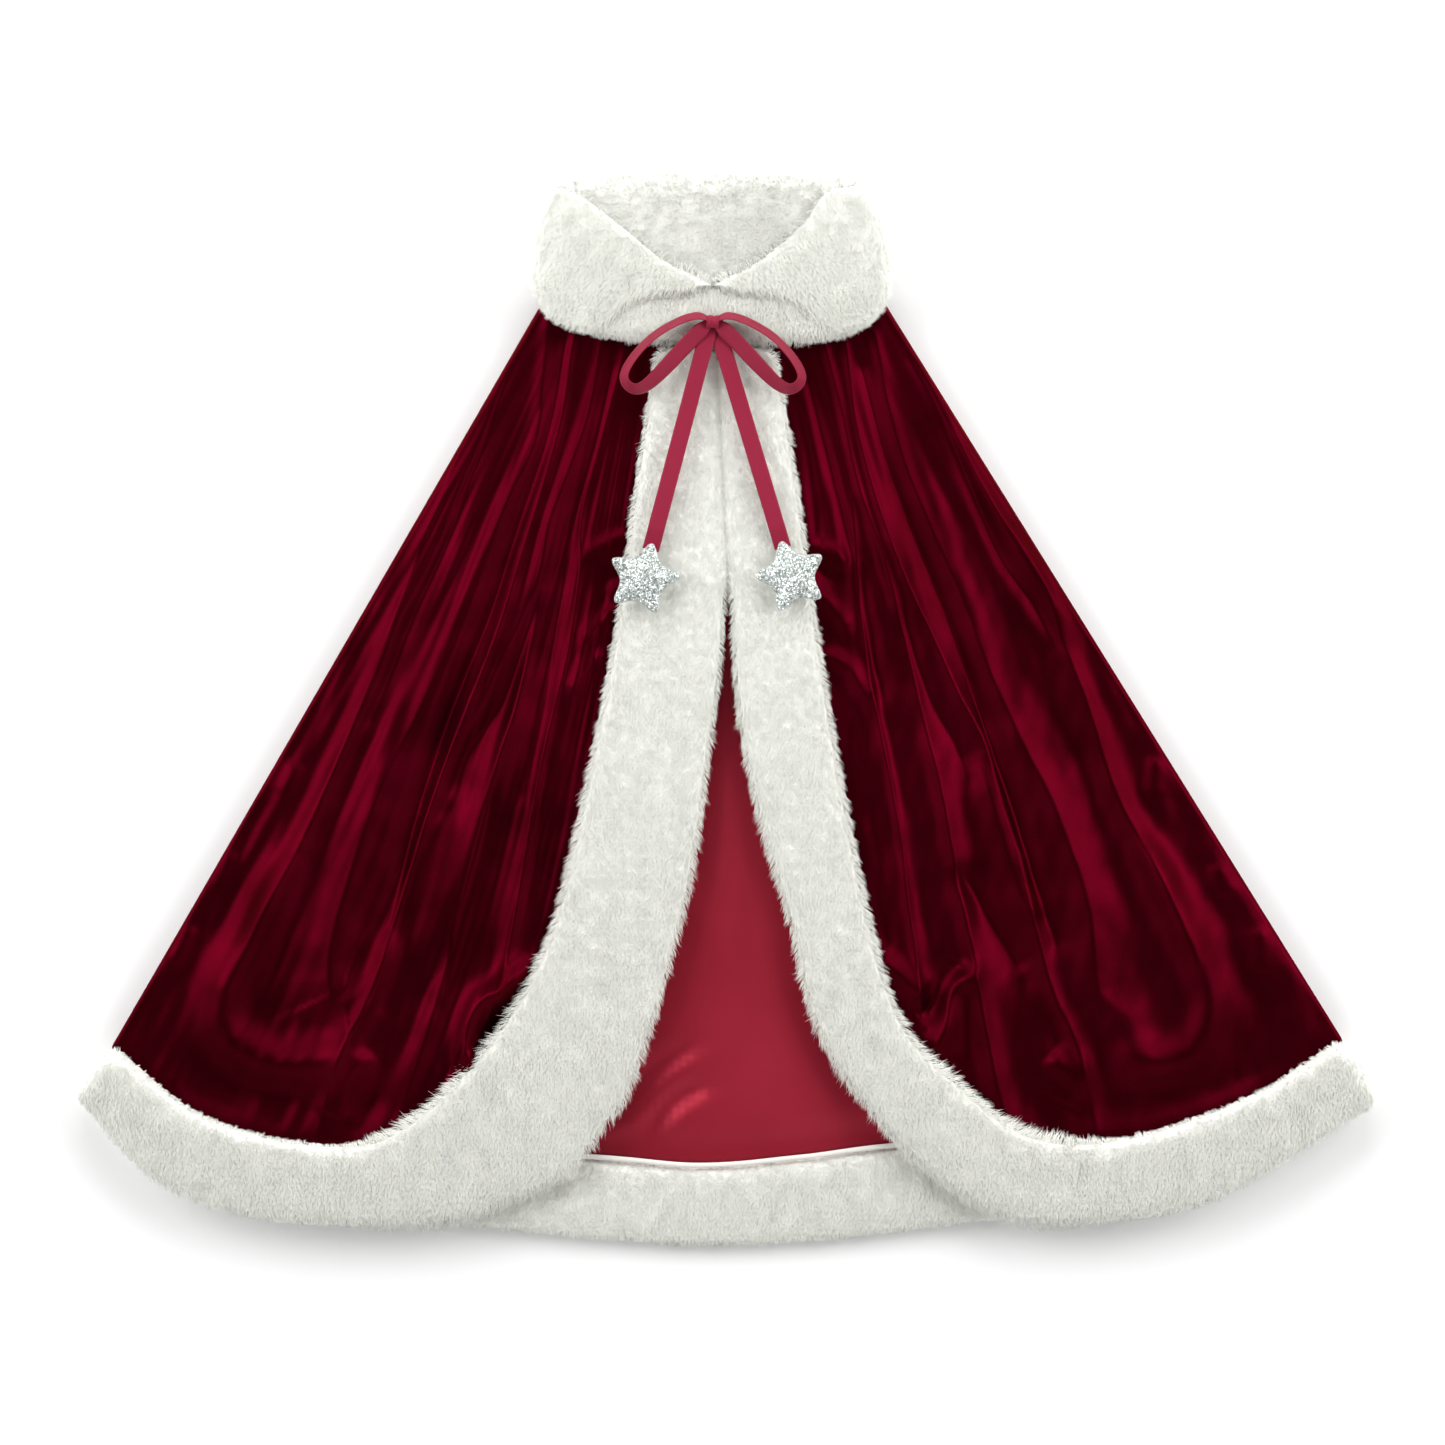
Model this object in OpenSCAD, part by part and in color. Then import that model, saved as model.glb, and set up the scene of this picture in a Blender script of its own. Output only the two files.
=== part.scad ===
// Child's velvet dress-up cape with a plush collar and plush edge, closed by a ribbon bow whose
// ends carry two padded stars. It lies flat on its back, with the fronts over the back.
// The origin is on the surface under the middle of the cape: +X is to the right of the view from
// above, +Y points to the collar and +Z is up.

/* [Overall] */
// Width across the hem corners
cape_w = 784; // [740:1:830]
// Length from the top of the collar to the hem
cape_l = 645; // [610:1:680]

/* [Cloth] */
// Thickness of the velvet
velvet_t = 1.6; // [1:0.1:2]
// Thickness of the satin lining
lining_t = 0.8; // [0.5:0.1:1]
// Space that the lying cape keeps between its back and its fronts
body_gap = 13.6; // [12:0.1:15]
// Width of the rolled edge where the back turns into a front
side_fold_w = 8; // [5:1:12]

/* [Plush] */
// Thickness of the plush on the back hem
back_fur_t = 14; // [10:0.5:14]
// Thickness of the plush on the fronts
front_fur_t = 15; // [10:0.5:15]
// Width of the woven tape on the upper edge of the back hem
hem_tape_w = 3; // [2:0.5:6]

/* [Collar] */
// Thickness of the outer layer at the back of the neck
collar_fall_t = 11; // [8:0.5:12]
// Thickness of the inner layer at the back of the neck
collar_stand_t = 10; // [8:0.5:11]
// Clear height of the neck opening
neck_gap = 7; // [5:0.5:8]
// Thickness of each front half
collar_front_t = 16; // [12:0.5:18]
// Thickness of the lip under the front halves
collar_lip_t = 14.7; // [10:0.1:14.7]

/* [Bow] */
// Width of the ribbon
ribbon_w = 10; // [6:1:12]
// Thickness of the ribbon
ribbon_t = 0.6; // [0.4:0.1:0.8]
// Radius of the knot
knot_r = 6.3; // [5:0.1:6.5]
// Height of a loop, which stands on the ribbon's edge
loop_h = 7; // [5:0.5:9]
// Angle of the left tail from straight down
left_tail_angle = -14.8; // [-20:0.1:-12]
// Angle of the right tail from straight down
right_tail_angle = 16.7; // [12:0.1:20]
// Distance from the knot to the hinge of a star
tail_len = 140; // [120:1:150]

/* [Stars] */
// Distance from a star's middle to its points, without the rim
star_r = 20.5; // [16:0.5:24]
// Thickness of a star
star_t = 10; // [6:0.5:10]
// Width of the rim cord
rim_w = 1.2; // [0.8:0.1:2]

/* [Hidden] */

$fn = 48;
curve_steps = 4;      // straight steps between two outline points
joint_gap = 0.6;      // clearance along a fold line
mesh_gap = 0.3;       // clearance between pieces that move past each other
far = 900;            // longer than anything that it cuts
bare_hem_x = -110;    // left end of the back hem that the fronts leave bare
bare_hem_w = 240;     // and its width
tape_drop = 0.8;      // depth of the hem tape's upper side below the top of the plush
side_lean = -4;       // drop of a rolled side edge across its width, at the hem
hem_side_y = -150;    // below this, the far side of a fold line is the plush of the hem
left_wrap_out = 20;   // reach of the left collar wrap beyond the neck, and its width
left_wrap_w = 36;
right_wrap_in = 18;   // reach of the right collar wrap inside the neck, and its width
right_wrap_w = 40;
root_x = 2.6;         // distance of a tie root from the knot's middle line
root_len = 20;
root_gap = 0.1;       // clearance between a tie root and the knot
root_lift = 0.2;      // clearance between a tie root and the collar's lip

// Heights of the layers
back_top = velvet_t + lining_t;
front_z = back_top + body_gap;
velvet_z = front_z + lining_t;
front_top = velvet_z + velvet_t;
front_fur_z = front_z - 1;
stand_z = collar_fall_t;
neck_z = collar_fall_t + collar_stand_t;
collar_front_z = neck_z + neck_gap;
lip_z = front_top + 0.4;
lip_top = lip_z + collar_lip_t;
knot_z = lip_top + mesh_gap;
right_star_mid = front_fur_z + front_fur_t + star_t / 2 + 0.9;
left_star_mid = right_star_mid + ribbon_t + mesh_gap;
loop_z = left_star_mid + ribbon_t / 2 + 0.4;
knot_h = loop_z + loop_h - knot_z;

// The outlines are drawn for the standard size and stretched to the chosen one
standard = [784, 645];
function fit(points) =
    [for (p = points) [p.x * cape_w / standard.x, p.y * cape_l / standard.y]];

// Middle of the knot
knot_at = fit([[-9.6, 236]])[0];

// Smooth curve through the points of an open outline
function on_curve(a, b, c, d, t) =
    0.5 * (2 * b + (c - a) * t + (2 * a - 5 * b + 4 * c - d) * t * t
        + (3 * b - a - 3 * c + d) * t * t * t);
function curve(p) = let (last = len(p) - 1) concat(
    [for (i = [0 : last - 1], k = [0 : curve_steps - 1])
        on_curve(p[max(i - 1, 0)], p[i], p[i + 1], p[min(i + 2, last)], k / curve_steps)],
    [p[last]]);
function back_to_front(p) = [for (i = [len(p) - 1 : -1 : 0]) p[i]];
function star_outline(r) =
    [for (i = [0 : 9]) let (q = i % 2 == 0 ? r : r * 0.52) q * [sin(36 * i), cos(36 * i)]];

// Seams between velvet and plush, from the neck to the side corner
left_seam = curve(fit([[-44, 219], [-56, 140], [-68, 52], [-92, -72], [-112, -144], [-150, -206],
    [-205, -254], [-262, -257], [-320, -239], [-370, -199]]));
right_seam = curve(fit([[28, 219], [41, 140], [58, 18], [82, -114], [103, -184], [133, -219],
    [181, -254], [237, -255], [312, -230], [368, -195]]));

// Free edges of the fronts, from the neck to the side corner
left_edge = curve(fit([[-8.5, 219], [-1.5, 75], [-10, -18], [-26, -120], [-57, -222],
    [-81, -268], [-128, -293], [-176, -307], [-271, -306], [-342, -284], [-392, -232]]));
right_edge = curve(fit([[-6.5, 219], [0.5, 75], [4, 6], [16, -60], [34, -120], [55, -197],
    [98, -256], [133, -286], [167, -304], [211, -307], [290, -294], [392, -234]]));

// Upper and lower edge of the back hem, from left to right
back_seam = curve(fit([[-370, -199], [-320, -239], [-262, -257], [-170, -266], [-81, -269],
    [-17, -274], [44, -269], [100, -262], [181, -258], [237, -255], [312, -230], [368, -195]]));
back_edge = curve(fit([[-392, -232], [-342, -284], [-271, -306], [-176, -310], [-81, -319],
    [-17, -322.5], [36, -321], [90, -316], [167, -306], [211, -307], [290, -294], [392, -234]]));

// Ends of the side folds at the neck and at the hem
left_neck = fit([[-113, 246]])[0];
right_neck = fit([[94, 246]])[0];
back_neck_y = fit([[0, 235]])[0].y;
neck_seam_y = fit([[0, 254]])[0].y;

// Fold lines on which the front corners turn back, from the front edge to the hem
left_fold = fit([[-10, -20], [-285, -305]]);
right_fold = fit([[7, -20], [285, -297]]);

// Outlines of the collar
collar_left_side = curve(fit([[-74, 223], [-89, 228], [-106, 236], [-114, 252], [-114, 269],
    [-112, 291], [-103, 313]]));
collar_right_side = curve(fit([[57, 223], [72, 228], [85, 235], [93, 250], [93, 266],
    [89, 290], [76, 315]]));
collar_top = curve(fit([[-103, 313], [-82, 320], [-23, 322.5], [25, 322], [55, 318], [76, 315]]));
left_roll = curve(fit([[-103, 313], [-91, 311], [-65, 293], [-38, 271], [-14, 262]]));
right_roll = curve(fit([[76, 315], [57, 311], [40, 290], [14, 269], [-5, 262]]));
left_arch = curve(fit([[-14, 253], [-35, 252], [-56, 247], [-70, 239], [-74, 223]]));
right_arch = curve(fit([[-5, 253], [15, 252], [36, 247], [51, 239], [57, 223]]));

// Middle line of the left loop, from the knot round and back
loop_line = curve(fit([[-18.5, 236.5], [-30, 233], [-45, 224], [-59, 211], [-64, 200],
    [-60, 191], [-53, 189], [-45, 193], [-35, 203], [-24, 218], [-16.5, 230.5]]));

// A flat layer of cloth or plush
module layer(z, thick) {
    translate([0, 0, z])
        linear_extrude(thick)
            children();
}

// Everything on the hem side of a fold line, moved back by a gap
module hem_side(line, gap) {
    along = line[1] - line[0];
    side = line[1].x < 0 ? 0 : -far;
    translate(line[0])
        rotate(atan2(along.y, along.x))
            translate([-far, side + (line[1].x < 0 ? gap : -gap)])
                square([2 * far, far]);
}

// The part of a front that turns back, or with keep false the part that stays
module turned(line, keep) {
    if (keep)
        intersection() {
            children();
            hem_side(line, joint_gap / 2);
        }
    else
        difference() {
            children();
            hem_side(line, -joint_gap / 2);
        }
}

module back_shape() {
    polygon(concat(back_seam, [[right_neck.x, back_neck_y], [left_neck.x, back_neck_y]]));
}

module left_cloth_shape() {
    polygon(concat(left_seam, [left_neck, [left_seam[0].x, left_neck.y]]));
}

module right_cloth_shape() {
    polygon(concat(right_seam, [right_neck, [right_seam[0].x, right_neck.y]]));
}

module left_fur_shape() {
    polygon(concat(left_edge, back_to_front(left_seam)));
}

module right_fur_shape() {
    polygon(concat(right_edge, back_to_front(right_seam)));
}

// The lower part of the cape, where only the hem's plush lies on the hem side of a fold line
module below_fold() {
    translate([-far, hem_side_y - far])
        square([2 * far, far]);
}

module back_velvet() {
    color("#4a0713")
        layer(0, velvet_t)
            back_shape();
}

module back_lining() {
    color("#8e1a30")
        layer(velvet_t, lining_t)
            back_shape();
}

module back_hem_fur() {
    color("#ece9dc")
        layer(0, back_fur_t)
            polygon(concat(back_edge, back_to_front(back_seam)));
}

// Woven tape that finishes the plush along the visible part of the back hem
module back_hem_tape() {
    top_z = back_fur_t - tape_drop;
    color("#f4f1e8")
        layer(back_top, top_z - back_top)
            intersection() {
                polygon(concat(back_seam, back_to_front([for (p = back_seam) p + [0, hem_tape_w]])));
                translate([bare_hem_x, -far])
                    square([bare_hem_w, far]);
            }
}

module side_fold(neck, corner) {
    inward = neck.x < 0 ? side_fold_w : -side_fold_w;
    color("#3c0510")
        layer(back_top, body_gap)
            polygon([[neck.x, back_neck_y], corner, corner + [inward, side_lean],
                [neck.x + inward, back_neck_y]]);
}

module left_side_fold() {
    side_fold(left_neck, left_seam[len(left_seam) - 1]);
}

module right_side_fold() {
    side_fold(right_neck, right_seam[len(right_seam) - 1]);
}

module left_front_velvet() {
    color("#4a0713")
        layer(velvet_z, velvet_t)
            turned(left_fold, false)
                left_cloth_shape();
}

module right_front_velvet() {
    color("#4a0713")
        layer(velvet_z, velvet_t)
            turned(right_fold, false)
                right_cloth_shape();
}

module left_front_lining() {
    color("#8e1a30")
        layer(front_z, lining_t)
            turned(left_fold, false)
                left_cloth_shape();
}

module right_front_lining() {
    color("#8e1a30")
        layer(front_z, lining_t)
            turned(right_fold, false)
                right_cloth_shape();
}

module left_front_fur() {
    color("#f2efe4")
        layer(front_fur_z, front_fur_t)
            turned(left_fold, false)
                difference() {
                    left_fur_shape();
                    below_fold();
                }
}

module right_front_fur() {
    color("#f2efe4")
        layer(front_fur_z, front_fur_t)
            turned(right_fold, false)
                difference() {
                    right_fur_shape();
                    below_fold();
                }
}

module left_hem_fur() {
    color("#e9e7da")
        layer(back_fur_t, front_fur_t)
            turned(left_fold, false)
                intersection() {
                    left_fur_shape();
                    below_fold();
                }
}

module right_hem_fur() {
    color("#e9e7da")
        layer(back_fur_t, front_fur_t)
            turned(right_fold, false)
                intersection() {
                    right_fur_shape();
                    below_fold();
                }
}

module left_corner_velvet() {
    color("#4a0713")
        layer(velvet_z, velvet_t)
            turned(left_fold, true)
                left_cloth_shape();
}

module right_corner_velvet() {
    color("#4a0713")
        layer(velvet_z, velvet_t)
            turned(right_fold, true)
                right_cloth_shape();
}

module left_corner_lining() {
    color("#8e1a30")
        layer(front_z, lining_t)
            turned(left_fold, true)
                left_cloth_shape();
}

module right_corner_lining() {
    color("#8e1a30")
        layer(front_z, lining_t)
            turned(right_fold, true)
                right_cloth_shape();
}

module left_corner_fur() {
    color("#f2efe4")
        layer(front_fur_z, front_fur_t)
            turned(left_fold, true)
                left_fur_shape();
}

module right_corner_fur() {
    color("#f2efe4")
        layer(front_fur_z, front_fur_t)
            turned(right_fold, true)
                right_fur_shape();
}

module collar_back_fall() {
    color("#f2efe4")
        layer(0, collar_fall_t)
            collar_shape(back_neck_y + 1);
}

module collar_back_stand() {
    color("#f5f2e8")
        layer(stand_z, collar_stand_t)
            collar_shape(neck_seam_y);
}

// The whole collar seen from above, cut off below a given height
module collar_shape(low_y) {
    intersection() {
        polygon(concat(collar_left_side, collar_top, back_to_front(collar_right_side)));
        translate([-far, low_y])
            square([2 * far, far]);
    }
}

// Side of the collar, where it turns from the back to the front of the neck
module collar_wrap(x, w) {
    color("#f2efe4")
        layer(neck_z, neck_gap)
            intersection() {
                collar_shape(neck_seam_y);
                translate([x, 0])
                    square([w, far]);
            }
}

module collar_left_wrap() {
    collar_wrap(left_neck.x - left_wrap_out, left_wrap_w);
}

module collar_right_wrap() {
    collar_wrap(right_neck.x - right_wrap_in, right_wrap_w);
}

module collar_left_front() {
    color("#f5f2e8")
        layer(collar_front_z, collar_front_t)
            polygon(concat(collar_left_side, left_roll, left_arch));
}

module collar_right_front() {
    color("#f5f2e8")
        layer(collar_front_z, collar_front_t)
            polygon(concat(collar_right_side, right_roll, right_arch));
}

module collar_lip() {
    color("#f2efe4")
        layer(lip_z, collar_lip_t)
            polygon(concat(left_arch, fit([[-65, 220], [49, 220]]), back_to_front(right_arch)));
}

// Tape that holds the gathered velvet and the collar together along the neck seam
module neck_tape() {
    color("#7c1528")
        layer(neck_z, neck_gap)
            polygon(fit([[-95, 254.5], [-95, 261], [75, 261], [75, 254.5]]));
}

// Hidden end of the ribbon, which runs on edge from the neck seam to the knot
module tie_root(x) {
    color("#a3123a")
        translate([x - ribbon_t / 2, knot_at.y + knot_r + root_gap, lip_top + root_lift])
            cube([ribbon_t, root_len, ribbon_w]);
}

module left_tie_root() {
    tie_root(knot_at.x - root_x);
}

module right_tie_root() {
    tie_root(knot_at.x + root_x);
}

module tie_knot() {
    color("#a3123a")
        translate([knot_at.x, knot_at.y, knot_z])
            cylinder(r = knot_r, h = knot_h);
}

// One loop, as a band of ribbon that stands on its edge
module loop() {
    wall = ribbon_t * 2;
    color("#a3123a")
        layer(loop_z, loop_h)
            difference() {
                offset(delta = wall / 2)
                    polygon(loop_line);
                offset(delta = -wall / 2)
                    polygon(loop_line);
            }
}

module left_loop() {
    loop();
}

module right_loop() {
    translate([2 * knot_at.x, 0])
        mirror([1, 0])
            loop();
}

// Places what is drawn straight down from the knot on the line of a tail
module on_tail(angle) {
    translate([knot_at.x, knot_at.y])
        rotate(angle)
            children();
}

module tail(angle, mid_z) {
    color("#a3123a")
        on_tail(angle)
            layer(mid_z - ribbon_t / 2, ribbon_t)
                difference() {
                    translate([-ribbon_w / 2, -tail_len + 0.8])
                        square([ribbon_w, tail_len - 0.8]);
                    circle(r = knot_r + 0.5);
                }
}

module left_tail() {
    tail(left_tail_angle, left_star_mid);
}

module right_tail() {
    tail(right_tail_angle, right_star_mid);
}

tack_len = 1.5;                  // thread between the ribbon and the star's upper point
skin_t = 1.5;                    // wall of a star's covering
star_slope = 0.4;                // size of a star's flat top, as a share of its outline
hollow_r = star_r - 2 * skin_t;  // hollow of a star's half, which runs cut_past its open side
cut_past = 1;
hollow_h = star_t / 2 - skin_t + cut_past;
open_r = hollow_r * (1 - (1 - star_slope) * cut_past / hollow_h);

// Places what is drawn round the middle of a star
module on_star(angle, mid_z) {
    on_tail(angle)
        translate([0, -tail_len - tack_len - star_r - rim_w, mid_z])
            children();
}

// Padded half of a star, with its wide side down
module star_half(r, h) {
    linear_extrude(h, scale = star_slope)
        polygon(star_outline(r));
}

module star_shell(angle, mid_z, up) {
    color("#c9ccca")
        on_star(angle, mid_z)
            mirror([0, 0, up ? 0 : 1])
                difference() {
                    star_half(star_r, star_t / 2);
                    translate([0, 0, -cut_past])
                        star_half(hollow_r, hollow_h);
                }
}

module star_filling(angle, mid_z) {
    play = 0.3;
    color("#f4f4f0")
        on_star(angle, mid_z)
            for (side = [0, 1])
                mirror([0, 0, side])
                    star_half(open_r - 2 * play, hollow_h - cut_past - play);
}

module star_rim(angle, mid_z) {
    color("#b9bcbc")
        on_star(angle, mid_z)
            translate([0, 0, -rim_w])
                linear_extrude(2 * rim_w)
                    difference() {
                        polygon(star_outline(star_r + rim_w));
                        polygon(star_outline(star_r));
                    }
}

// Stitches between the ribbon's end and the star: a bar in the fold and a stem
module star_tack(angle, mid_z) {
    bar_r = 0.4;
    color("#c9ccca")
        on_tail(angle)
            translate([0, -tail_len, mid_z]) {
                rotate([0, 90, 0])
                    cylinder(r = bar_r, h = ribbon_w * 0.6, center = true);
                translate([-bar_r, -tack_len, -bar_r])
                    cube([2 * bar_r, tack_len, 2 * bar_r]);
            }
}

module left_star_front() {
    star_shell(left_tail_angle, left_star_mid, true);
}

module right_star_front() {
    star_shell(right_tail_angle, right_star_mid, true);
}

module left_star_back() {
    star_shell(left_tail_angle, left_star_mid, false);
}

module right_star_back() {
    star_shell(right_tail_angle, right_star_mid, false);
}

module left_star_filling() {
    star_filling(left_tail_angle, left_star_mid);
}

module right_star_filling() {
    star_filling(right_tail_angle, right_star_mid);
}

module left_star_rim() {
    star_rim(left_tail_angle, left_star_mid);
}

module right_star_rim() {
    star_rim(right_tail_angle, right_star_mid);
}

module left_star_tack() {
    star_tack(left_tail_angle, left_star_mid);
}

module right_star_tack() {
    star_tack(right_tail_angle, right_star_mid);
}

back_velvet();
back_lining();
back_hem_fur();
back_hem_tape();
left_side_fold();
right_side_fold();
left_front_velvet();
right_front_velvet();
left_front_lining();
right_front_lining();
left_front_fur();
right_front_fur();
left_hem_fur();
right_hem_fur();
left_corner_velvet();
right_corner_velvet();
left_corner_lining();
right_corner_lining();
left_corner_fur();
right_corner_fur();
collar_back_fall();
collar_back_stand();
collar_left_wrap();
collar_right_wrap();
collar_left_front();
collar_right_front();
collar_lip();
neck_tape();
left_tie_root();
right_tie_root();
tie_knot();
left_loop();
right_loop();
left_tail();
right_tail();
left_star_front();
right_star_front();
left_star_back();
right_star_back();
left_star_filling();
right_star_filling();
left_star_rim();
right_star_rim();
left_star_tack();
right_star_tack();
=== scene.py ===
# Velvet dress-up cape: plush collar and edges, satin lining, ribbon bow with padded glitter stars.
# The scene is in metres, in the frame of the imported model: the cape lies on its back on z = 0.
# Outlines, folds and the bow's places are written in millimetres.
import math
import bmesh
import bpy
import numpy as np
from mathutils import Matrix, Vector


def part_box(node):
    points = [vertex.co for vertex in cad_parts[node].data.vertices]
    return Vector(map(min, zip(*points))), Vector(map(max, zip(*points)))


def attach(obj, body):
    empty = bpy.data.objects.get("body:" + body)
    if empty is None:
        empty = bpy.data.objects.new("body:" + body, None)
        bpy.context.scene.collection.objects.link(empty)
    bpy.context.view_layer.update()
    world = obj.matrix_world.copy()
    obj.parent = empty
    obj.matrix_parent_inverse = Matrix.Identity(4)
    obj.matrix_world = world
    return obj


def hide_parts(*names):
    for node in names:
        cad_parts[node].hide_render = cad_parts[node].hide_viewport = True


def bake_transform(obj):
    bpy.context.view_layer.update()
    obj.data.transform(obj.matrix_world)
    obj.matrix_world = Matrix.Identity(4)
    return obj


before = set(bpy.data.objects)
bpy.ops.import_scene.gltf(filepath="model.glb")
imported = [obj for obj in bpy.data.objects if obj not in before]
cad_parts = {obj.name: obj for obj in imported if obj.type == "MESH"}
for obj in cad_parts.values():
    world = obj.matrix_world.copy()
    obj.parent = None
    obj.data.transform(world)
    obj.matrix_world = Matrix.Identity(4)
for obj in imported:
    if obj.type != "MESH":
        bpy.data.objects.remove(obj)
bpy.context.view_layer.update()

MM = 0.001
UP = np.array([0, 0, 1.0])


# ------------ curves and meshes

def curve(points, count=80):
    """Smooth line through points given in millimetres, as count evenly spaced points in metres."""
    p = np.array(points, float) * MM
    ends = np.vstack([2 * p[0] - p[1], p, 2 * p[-1] - p[-2]])
    t = np.linspace(0, 1, 24, endpoint=False)[:, None]
    line = []
    for a, b, c, d in zip(ends[:-3], ends[1:-2], ends[2:-1], ends[3:]):
        line.append(0.5 * (2 * b + (c - a) * t + (2 * a - 5 * b + 4 * c - d) * t ** 2
                           + (3 * b - a - 3 * c + d) * t ** 3))
    return spaced(np.vstack(line + [p[-1:]]), count)


def spaced(line, count):
    """The same line with count evenly spaced points."""
    steps = np.r_[0, np.cumsum(np.linalg.norm(np.diff(line, axis=0), axis=1))]
    at = np.linspace(0, steps[-1], count)
    return np.stack([np.interp(at, steps, line[:, k]) for k in range(line.shape[1])], axis=1)


def unit(v):
    return v / np.maximum(np.linalg.norm(v, axis=-1, keepdims=True), 1e-12)


def smooth(t):
    """0 up to t = 0, 1 from t = 1, and an even rise between."""
    t = np.clip(t, 0, 1)
    return t * t * (3 - 2 * t)


def wave_noise(x, y, scale, seed):
    """Smooth noise from about -1 to 1: three octaves of five plane waves in random directions."""
    rng = np.random.default_rng(seed)
    total = np.zeros(np.broadcast(x, y).shape)
    for octave in range(3):
        for _ in range(5):
            turn, phase = rng.uniform(0, 2 * math.pi, 2)
            k = 2 * math.pi / (scale / 1.9 ** octave) * rng.uniform(0.7, 1.3)
            total += np.sin(k * (x * math.cos(turn) + y * math.sin(turn)) + phase) / 1.8 ** octave
    return total / 5


def make_mesh(name, verts, quads=(), tris=(), materials=(), slots=None, uv=None):
    """Object with the given corners, four-sided and three-sided faces, and a place on a pattern
    for each corner where uv is given."""
    quads = np.array(quads, np.int32).reshape(-1, 4)
    tris = np.array(tris, np.int32).reshape(-1, 3)
    corners = np.r_[quads.ravel(), tris.ravel()]
    mesh = bpy.data.meshes.new(name)
    mesh.vertices.add(len(verts))
    mesh.vertices.foreach_set("co", np.asarray(verts, np.float32).ravel())
    mesh.loops.add(len(corners))
    mesh.loops.foreach_set("vertex_index", corners)
    sizes = np.r_[np.full(len(quads), 4), np.full(len(tris), 3)].astype(np.int32)
    mesh.polygons.add(len(sizes))
    mesh.polygons.foreach_set("loop_start", np.r_[0, np.cumsum(sizes)[:-1]].astype(np.int32))
    mesh.polygons.foreach_set("use_smooth", np.full(len(sizes), True))
    for material in materials:
        mesh.materials.append(material)
    if slots is not None:
        mesh.polygons.foreach_set("material_index", np.asarray(slots, np.int32))
    if uv is not None:
        layer = mesh.uv_layers.new(name="pattern")
        layer.data.foreach_set("uv", np.asarray(uv, np.float32).reshape(-1, 2)[corners].ravel())
    mesh.update(calc_edges=True)
    mesh.validate()
    piece = bpy.data.objects.new(name, mesh)
    bpy.context.scene.collection.objects.link(piece)
    return piece


def grid_quads(rows, cols, close_cols=False, close_rows=False):
    """Faces of a grid of rows x cols corners, closed round its columns or rows if asked."""
    r, c = np.meshgrid(np.arange(rows if close_rows else rows - 1),
                       np.arange(cols if close_cols else cols - 1), indexing="ij")
    row, below = r * cols, (r + 1) % rows * cols
    nxt = (c + 1) % cols
    return np.stack([row + c, row + nxt, below + nxt, below + c], axis=-1).reshape(-1, 4)


def circle(turn, a, b):
    """Points at the angles turn from each row of a towards the same row of b."""
    return np.cos(turn)[None, :, None] * a[:, None] + np.sin(turn)[None, :, None] * b[:, None]


def grid_normals(grid, close_cols=False):
    """Unit normals of a grid of points, pointing up where rows run +Y and columns run +X."""
    along = np.gradient(grid, axis=0)
    if close_cols:
        across = (np.roll(grid, -1, axis=1) - np.roll(grid, 1, axis=1)) / 2
    else:
        across = np.gradient(grid, axis=1)
    return unit(np.cross(across, along))


def outward(piece):
    """Turns the faces of a closed mesh outwards."""
    bm = bmesh.new()
    bm.from_mesh(piece.data)
    bmesh.ops.recalc_face_normals(bm, faces=bm.faces)
    bm.to_mesh(piece.data)
    bm.free()


def sheet_mesh(name, grid, thick, material, uv=None):
    """Thin closed cloth: grid is its upper face, and the lower one lies thick below it."""
    rows, cols = grid.shape[:2]
    normal = grid_normals(grid)
    if normal[..., 2].mean() < 0:
        normal = -normal
    lower = grid - thick * normal
    verts = np.vstack([grid.reshape(-1, 3), lower.reshape(-1, 3)])
    top = grid_quads(rows, cols)
    size = rows * cols
    rim = np.r_[np.arange(cols), np.arange(1, rows) * cols + cols - 1,
                (rows - 1) * cols + np.arange(cols - 2, -1, -1), np.arange(rows - 2, 0, -1) * cols]
    nxt = np.roll(rim, -1)
    wall = np.stack([rim, nxt, nxt + size, rim + size], axis=1)
    both = None if uv is None else np.tile(uv.reshape(-1, 2), (2, 1))
    faces = np.vstack([top, top[:, ::-1] + size, wall[:, ::-1]])
    piece = make_mesh(name, verts, faces, materials=[material], uv=both)
    outward(piece)
    return piece


def closed_tube(name, grid, material, uv=None):
    """Solid with the grid as its skin, closed round its columns, and with both ends capped."""
    rows, cols = grid.shape[:2]
    verts = np.vstack([grid.reshape(-1, 3), grid[0].mean(0), grid[-1].mean(0)])
    ring = np.arange(cols)
    nxt = np.roll(ring, -1)
    last = (rows - 1) * cols
    caps = np.vstack([np.stack([np.full(cols, rows * cols), nxt, ring], axis=1),
                      np.stack([np.full(cols, rows * cols + 1), ring + last, nxt + last], axis=1)])
    piece = make_mesh(name, verts, grid_quads(rows, cols, close_cols=True), caps, [material], uv=uv)
    outward(piece)
    return piece


# ------------ materials

def principled(name, **values):
    """New material and its shader; values are put on the shader's own sockets."""
    material = bpy.data.materials.new(name)
    material.use_nodes = True
    shader = material.node_tree.nodes["Principled BSDF"]
    for key, value in values.items():
        shader.inputs[key.replace("_", " ")].default_value = value
    return material, shader


def add(owner, kind, **values):
    """New node; plain values go to its properties, or to its sockets where it has no such property."""
    item = owner.node_tree.nodes.new("ShaderNode" + kind)
    for key, value in values.items():
        if hasattr(item, key):
            setattr(item, key, value)
        else:
            item.inputs[key.replace("_", " ")].default_value = value
    return item


def join(owner, source, target):
    owner.node_tree.links.new(source, target)


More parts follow.
